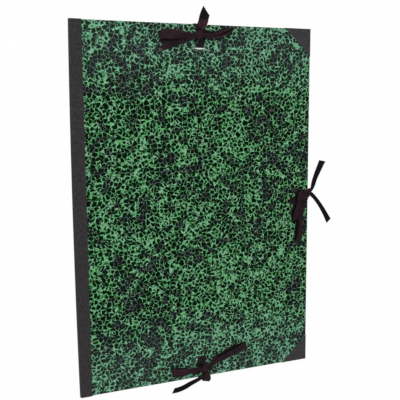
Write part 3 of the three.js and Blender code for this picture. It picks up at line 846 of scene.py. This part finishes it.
def book_cloth():
    """Close plain weave, filled and pressed, with a slow change of tone and rubbed folds."""
    made, tree, shader, p = material(
        "book_cloth", 0.85, Specular_IOR_Level=0.2, Sheen_Weight=0.06, Sheen_Roughness=0.5
    )
    parts = add(tree, "ShaderNodeSeparateXYZ", {0: p}).outputs
    slub = calc(tree, "SUBTRACT", noise(tree, p, 7.0, 3.0), 0.5)
    weave = {
        "Across": calc(tree, "ADD", parts[0], parts[2]), "Along": parts[1],
        "Across Pitch": 0.42, "Along Pitch": 0.46, "Slub": calc(tree, "MULTIPLY", slub, 1.6),
    }
    threads = use(tree, WEAVE, weave)
    tone = use(tree, MOTTLE, {"Place": p, "Size": 16.0, "Amount": 0.16})["Tone"]
    fine = use(tree, MOTTLE, {"Place": p, "Size": 2.6, "Amount": 0.9})["Tone"]
    shade = calc(tree, "MULTIPLY", tone, fine)
    # Painted shade: darker in the hollows between the threads.
    shade = calc(tree, "MULTIPLY", shade, fade(tree, threads["Hollow"], 0.0, 1.0, 1.06, 0.7))
    from_spine = fade(tree, parts[0], -146.0, -120.0)
    base = blend(tree, from_spine, linear(50, 47, 49), linear(58, 55, 57))
    colour = shaded(tree, base, shade)
    near = edge_distance(tree, parts)
    rubbed = use(tree, RUB, {"Place": p, "Distance": near, "Reach": 1.6})["Rubbed"]
    # Painted shade: darker within about a millimetre and a half of each side, where the cloth turns
    # round the board's edge.
    colour = blend(tree, fade(tree, near, 1.6, 0.4, 0.0, 0.6), colour, linear(24, 22, 23))
    colour = blend(tree, calc(tree, "MULTIPLY", rubbed, 0.18), colour, linear(104, 98, 94))
    tree.links.new(colour, shader.inputs["Base Color"])
    relief(tree, shader, threads["Height"], 0.45, 0.00008)
    return made


def cotton_tape():
    """Ribbed tape on its own lengths: fine ribs across, finer warp along, a firm edge on each side.

    Painted shade darkens the tape inside the folds and where one strand lies under another, and
    the ends that hang below the cover's face are darker.
    """
    made, tree, shader, p = material(
        "cotton_tape", 0.9, Specular_IOR_Level=0.12, Sheen_Weight=0.1, Sheen_Roughness=0.4
    )
    shader.inputs["Sheen Tint"].default_value = linear(130, 84, 104)
    uv = add(tree, "ShaderNodeUVMap", uv_map="across_and_along").outputs["UV"]
    painted_shade = add(tree, "ShaderNodeAttribute", attribute_name="painted_fold_shade").outputs["Fac"]
    parts = add(tree, "ShaderNodeSeparateXYZ", {0: uv}).outputs
    slub = calc(tree, "SUBTRACT", noise(tree, uv, 5.0), 0.5)
    weave = {
        "Across": parts[0], "Along": parts[1],
        "Across Pitch": 0.4, "Along Pitch": 0.62, "Slub": calc(tree, "MULTIPLY", slub, 0.5),
    }
    threads = use(tree, WEAVE, weave)
    from_middle = calc(tree, "ABSOLUTE", parts[0])
    border = fade(tree, from_middle, 5.2, 5.5)
    tone = use(tree, MOTTLE, {"Place": uv, "Size": 5.0, "Amount": 0.5})["Tone"]
    # Painted shade: darker in the hollows between the threads.
    shade = calc(tree, "MULTIPLY", tone, fade(tree, threads["Hollow"], 0.0, 1.0, 1.05, 0.6))
    shade = calc(tree, "MULTIPLY", shade, fade(tree, border, 0.0, 1.0, 1.0, 1.25))
    faded = fade(tree, noise(tree, elsewhere(tree, uv, (40.0, 9.0, 2.0)), 16.0, 3.0), 0.42, 0.62)
    height = add(tree, "ShaderNodeSeparateXYZ", {0: p}).outputs[2]
    on_cover = fade(tree, height, 6.0, 9.5)
    dye_and_painted_shade = blend(tree, on_cover, linear(25, 19, 21), linear(38, 29, 33))
    dye_and_painted_shade = blend(tree, calc(tree, "MULTIPLY", faded, on_cover), dye_and_painted_shade, linear(56, 34, 41))
    # Painted shade: the colour turns near black where the stored fold shade is full.
    dye_and_painted_shade = blend(tree, painted_shade, dye_and_painted_shade, linear(12, 9, 10))
    colour = shaded(tree, dye_and_painted_shade, shade)
    from_side = calc(tree, "SUBTRACT", TAPE_WIDE / 2, from_middle)
    rubbed = use(tree, RUB, {"Place": p, "Distance": from_side, "Reach": 0.7})["Rubbed"]
    colour = blend(tree, calc(tree, "MULTIPLY", rubbed, 0.25), colour, linear(84, 62, 70))
    tree.links.new(colour, shader.inputs["Base Color"])
    relief(tree, shader, calc(tree, "ADD", threads["Height"], border), 0.5, 0.00012)
    return made


def grey_board():
    """Pressed board: pulp fibres of two sizes over a slow change of tone."""
    made, tree, shader, p = material("grey_board", 0.9, Specular_IOR_Level=0.2)
    long = add(tree, "ShaderNodeMapping", {"Vector": p, "Scale": (0.5, 0.5, 3.0)}).outputs["Vector"]
    fibre = noise(tree, long, 0.7, 4.0, 0.65)
    tone = use(tree, MOTTLE, {"Place": p, "Size": 9.0, "Amount": 0.18})["Tone"]
    shade = calc(tree, "MULTIPLY", tone, fade(tree, fibre, 0.3, 0.7, 0.8, 1.15))
    tree.links.new(shaded(tree, linear(143, 138, 128), shade), shader.inputs["Base Color"])
    relief(tree, shader, fibre, 0.4, 0.0002)
    return made


def lining_paper():
    """Matt dark paper with laid lines and a faint cloud of tone."""
    made, tree, shader, p = material("lining_paper", 0.8, Specular_IOR_Level=0.3)
    parts = add(tree, "ShaderNodeSeparateXYZ", {0: p}).outputs
    laid = calc(tree, "SINE", calc(tree, "MULTIPLY", parts[1], 2 * math.pi / 1.3))
    tone = use(tree, MOTTLE, {"Place": p, "Size": 14.0, "Amount": 0.2})["Tone"]
    fine = use(tree, MOTTLE, {"Place": p, "Size": 0.8, "Amount": 0.25})["Tone"]
    shade = calc(tree, "MULTIPLY", tone, fine)
    shade = calc(tree, "MULTIPLY", shade, calc(tree, "MULTIPLY_ADD", laid, 0.04, 1.0))
    tree.links.new(shaded(tree, linear(38, 41, 43), shade), shader.inputs["Base Color"])
    relief(tree, shader, noise(tree, p, 0.5, 3.0), 0.25, 0.0001)
    return made


def raw_paper():
    """The torn white core of the cover paper: pale, fibrous and matt."""
    made, tree, shader, p = material("raw_paper", 0.9, Specular_IOR_Level=0.2)
    fibre = noise(tree, p, 0.5, 4.0, 0.7)
    colour = blend(tree, fade(tree, fibre, 0.35, 0.7), linear(214, 212, 206), linear(250, 250, 248))
    tree.links.new(colour, shader.inputs["Base Color"])
    relief(tree, shader, fibre, 0.6, 0.0002)
    return made


# Building

def dress(node, finish):
    """Gives a solid of the covers its finish."""
    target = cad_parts[node]
    target.data.materials.clear()
    target.data.materials.append(finish)


def lay_floor():
    """A wide pale floor just under the folder, near white to the camera, that keeps the shadow."""
    corners = np.array([[-1, -1], [1, -1], [1, 1], [-1, 1]]) * FLOOR_HALF
    corners = np.column_stack([corners, np.full(4, FLOOR_Z)])
    floor = mesh_object("floor", corners, np.array([[0, 1, 2, 3]]), smooth=False)
    made = bpy.data.materials.new("floor")
    made.use_nodes = True
    tree = made.node_tree
    tree.nodes.remove(tree.nodes["Principled BSDF"])
    matt = add(tree, "ShaderNodeBsdfDiffuse", {"Color": (0.9, 0.9, 0.9, 1)}).outputs[0]
    white = {"Color": (1, 1, 1, 1), "Strength": 1.0}
    white = add(tree, "ShaderNodeEmission", white).outputs[0]
    seen = add(tree, "ShaderNodeLightPath").outputs["Is Camera Ray"]
    share = calc(tree, "MULTIPLY", seen, FLOOR_WHITE)
    mixed = add(tree, "ShaderNodeMixShader", {0: share, 1: matt, 2: white}).outputs[0]
    tree.links.new(mixed, tree.nodes["Material Output"].inputs["Surface"])
    floor.data.materials.append(made)


def light_scene():
    """An even world, plain white to the camera, and one large soft lamp from the upper left."""
    world = bpy.data.worlds.new("studio")
    bpy.context.scene.world = world
    world.use_nodes = True
    tree = world.node_tree
    background = tree.nodes["Background"]
    background.inputs["Color"].default_value = (1, 1, 1, 1)
    seen = add(tree, "ShaderNodeLightPath").outputs["Is Camera Ray"]
    strength = calc(tree, "MULTIPLY_ADD", seen, 1 - WORLD_STRENGTH, WORLD_STRENGTH)
    tree.links.new(strength, background.inputs["Strength"])
    data = bpy.data.lights.new("softbox", "AREA")
    data.shape = "SQUARE"
    data.size = LAMP_SIZE
    data.energy = LAMP_POWER
    lamp = bpy.data.objects.new("softbox", data)
    back = unit(LAMP_PLACE)
    right = unit(np.cross(-back, [0, 0, 1]))
    stand(lamp, right, np.cross(right, -back), back, LAMP_PLACE)
    bpy.context.scene.view_settings.view_transform = "Standard"


def tie_tapes(finish):
    """Both tapes of each tie. Every tape has its own seed, which sets the phase of its pleats."""
    seed = 0.0
    for where, tie in TIES.items():
        place = TIE_PLACES[where]
        for face, route, cut in (
            ("front", front_route(tie), tie["front_cut"]),
            ("back", back_route(tie), tie["back_cut"]),
        ):
            seed += 1.0
            piece, path, length = tape(f"{where}_{face}_woven_tape", route, place, cut, seed)
            piece.data.materials.append(finish)
            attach(piece, "root")
            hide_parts(f"{where}_tape_{face}")


def cut_slits(paper, torn):
    """A raised lip beside each slit; only the one at the head of the front cover shows its core."""
    for where, place in TIE_PLACES.items():
        for face in ("front", "back"):
            open_lip = (where, face) == ("top", "front")
            wide, high = (1.9, 0.3) if open_lip else (0.4, 0.12)
            lip = slit_lip(f"{where}_{face}_slit_lip", place, face == "back", wide, high)
            lip.data.materials.append(torn if open_lip else paper)
            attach(lip, "root")


place_camera()
tie_tapes(cotton_tape())

paper = marbled_paper()
cut_slits(paper, raw_paper())
cloth = book_cloth()
board = grey_board()
lining = lining_paper()
for cover in ("back", "front"):
    dress(f"{cover}_board", board)
    dress(f"{cover}_cover_paper", paper)
    dress(f"{cover}_lining", lining)
    dress(f"{cover}_corner_top", cloth)
    dress(f"{cover}_corner_bottom", cloth)
dress("spine_cloth", cloth)
dress("spine_lining", cloth)

lay_floor()
light_scene()
